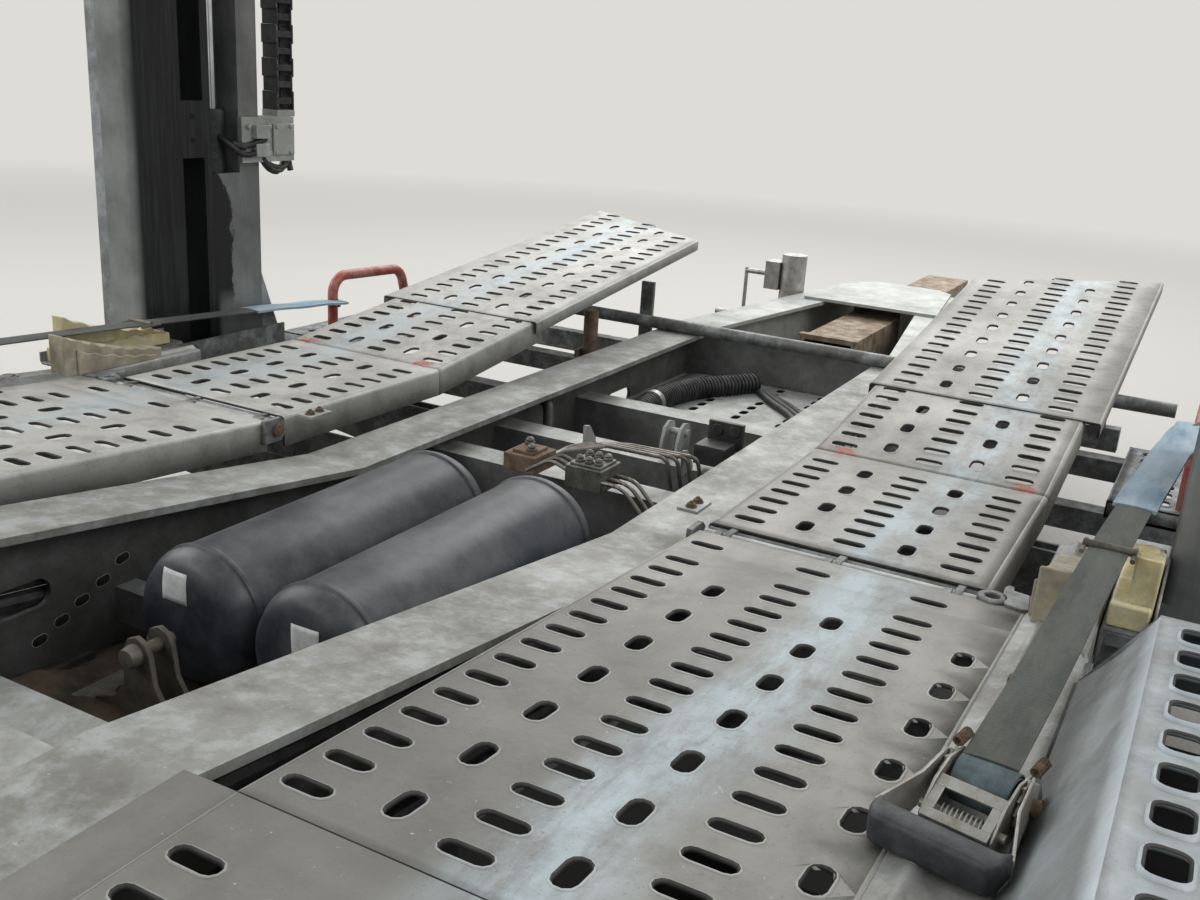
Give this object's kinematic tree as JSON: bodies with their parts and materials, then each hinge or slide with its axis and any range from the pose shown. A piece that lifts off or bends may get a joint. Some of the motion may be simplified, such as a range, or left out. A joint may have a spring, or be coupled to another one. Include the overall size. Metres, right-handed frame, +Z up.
{
  "type": "car transporter trailer",
  "caption": "centre-axle car transporter trailer: slotted lower tracks with hinged front ramps, twin wheels, a drawbar on its jack, and an upper deck that lifts and tilts on posts",
  "frame": {"origin": "on the ground below the middle of the overall length and width", "axes": "+X forward along the drawbar, +Y left, +Z up"},
  "size_m": [9.5, 2.55, 2.5],
  "materials": {
    "galvanised": "matte",
    "tyre": "matte",
    "dark_paint": "satin",
    "chrome": "polished",
    "cast": "rough",
    "aluminium": "brushed",
    "lamp_red": "glossy",
    "yellow_plastic": "matte",
    "rubber": "matte",
    "brass": "dull",
    "webbing": "woven",
    "red_paint": "satin"
  },
  "bodies": {
    "chassis": {"air_springs": "rubber", "air_tanks": "dark_paint", "arm_hangers": "dark_paint", "axles": "dark_paint", "brake_chambers": "dark_paint", "cable_chain": "dark_paint", "chocks": "yellow_plastic", "conduit": "rubber", "coupling_eye": "cast", "crossmembers": "galvanised", "dampers": "dark_paint", "drawbar_head": "galvanised", "drawbar_sides": "galvanised", "drawbar_tube": "galvanised", "hoops": "red_paint", "hose_brackets": "galvanised", "jack_tube": "galvanised", "lift_barrels": "dark_paint", "lower_tracks": "galvanised", "main_rails": "galvanised", "mud_flaps": "rubber", "outriggers": "galvanised", "post_guides": "galvanised", "posts": "galvanised", "ramp_pins": "galvanised", "ramp_runners": "galvanised", "ratchets": "galvanised", "rear_beam": "galvanised", "rear_lamps": "lamp_red", "side_members": "galvanised", "sill_plates": "galvanised", "steps": "galvanised", "straps": "webbing", "trailing_arms": "dark_paint", "underrun_bar": "galvanised", "valve_block": "brass", "wheel_guards": "galvanised"},
    "front_lift": {"front_carriages": "galvanised", "front_lift_rods": "chrome"},
    "rear_lift": {"rear_carriages": "galvanised", "rear_lift_rods": "chrome"},
    "upper_deck": {"upper_tracks": "galvanised", "upper_crossbeams": "galvanised", "deck_ears": "galvanised"},
    "front_ramp_left": {"front_ramp_left": "galvanised"},
    "front_ramp_right": {"front_ramp_right": "galvanised"},
    "jack": {"jack_leg": "galvanised"},
    "loading_ramp_left": {"loading_ramp_left": "aluminium"},
    "loading_ramp_right": {"loading_ramp_right": "aluminium"},
    "wheel_front_left": {"tyres_front_left": "tyre", "wheel_front_left": "galvanised"},
    "wheel_front_right": {"tyres_front_right": "tyre", "wheel_front_right": "galvanised"},
    "wheel_rear_left": {"tyres_rear_left": "tyre", "wheel_rear_left": "galvanised"},
    "wheel_rear_right": {"tyres_rear_right": "tyre", "wheel_rear_right": "galvanised"}
  },
  "joints": [
    {"name": "wheel_front_left_spin", "type": "hinge", "parent": "chassis", "child": "wheel_front_left", "pos_m": [-0.26, 1, 0.393], "axis": [0, 1, 0], "continuous": true},
    {"name": "wheel_front_right_spin", "type": "hinge", "parent": "chassis", "child": "wheel_front_right", "pos_m": [-0.26, -1, 0.393], "axis": [0, 1, 0], "continuous": true},
    {"name": "wheel_rear_left_spin", "type": "hinge", "parent": "chassis", "child": "wheel_rear_left", "pos_m": [-1.52, 1, 0.393], "axis": [0, 1, 0], "continuous": true},
    {"name": "wheel_rear_right_spin", "type": "hinge", "parent": "chassis", "child": "wheel_rear_right", "pos_m": [-1.52, -1, 0.393], "axis": [0, 1, 0], "continuous": true},
    {"name": "front_ramp_left_hinge", "type": "hinge", "parent": "chassis", "child": "front_ramp_left", "pos_m": [0.9, 0.666, 0.846], "axis": [0, -1, 0], "range_deg": [0, 10]},
    {"name": "front_ramp_right_hinge", "type": "hinge", "parent": "chassis", "child": "front_ramp_right", "pos_m": [0.9, -0.666, 0.846], "axis": [0, -1, 0], "range_deg": [0, 10]},
    {"name": "front_lift_slide", "type": "slide", "parent": "chassis", "child": "front_lift", "axis": [0, 0, 1], "range_m": [-0.35, 0.08]},
    {"name": "upper_deck_tilt", "type": "hinge", "parent": "front_lift", "child": "upper_deck", "pos_m": [1.359, 0, 2.07], "axis": [0, 1, 0], "range_deg": [-3, 1.5]},
    {"name": "rear_lift_slide", "type": "slide", "parent": "front_lift", "child": "rear_lift", "axis": [0, 0, 1], "range_m": [-0.26, 0.26]},
    {"name": "jack_slide", "type": "slide", "parent": "chassis", "child": "jack", "axis": [0, 0, 1], "range_m": [0, 0.28]},
    {"name": "loading_ramp_left_slide", "type": "slide", "parent": "chassis", "child": "loading_ramp_left", "axis": [-1, 0, 0], "range_m": [0, 1.3]},
    {"name": "loading_ramp_right_slide", "type": "slide", "parent": "chassis", "child": "loading_ramp_right", "axis": [-1, 0, 0], "range_m": [0, 1.3]}
  ],
  "couplings": [
    {"joint": "rear_lift_slide", "follows": "upper_deck_tilt", "m_per_rad": 4.709}
  ]
}
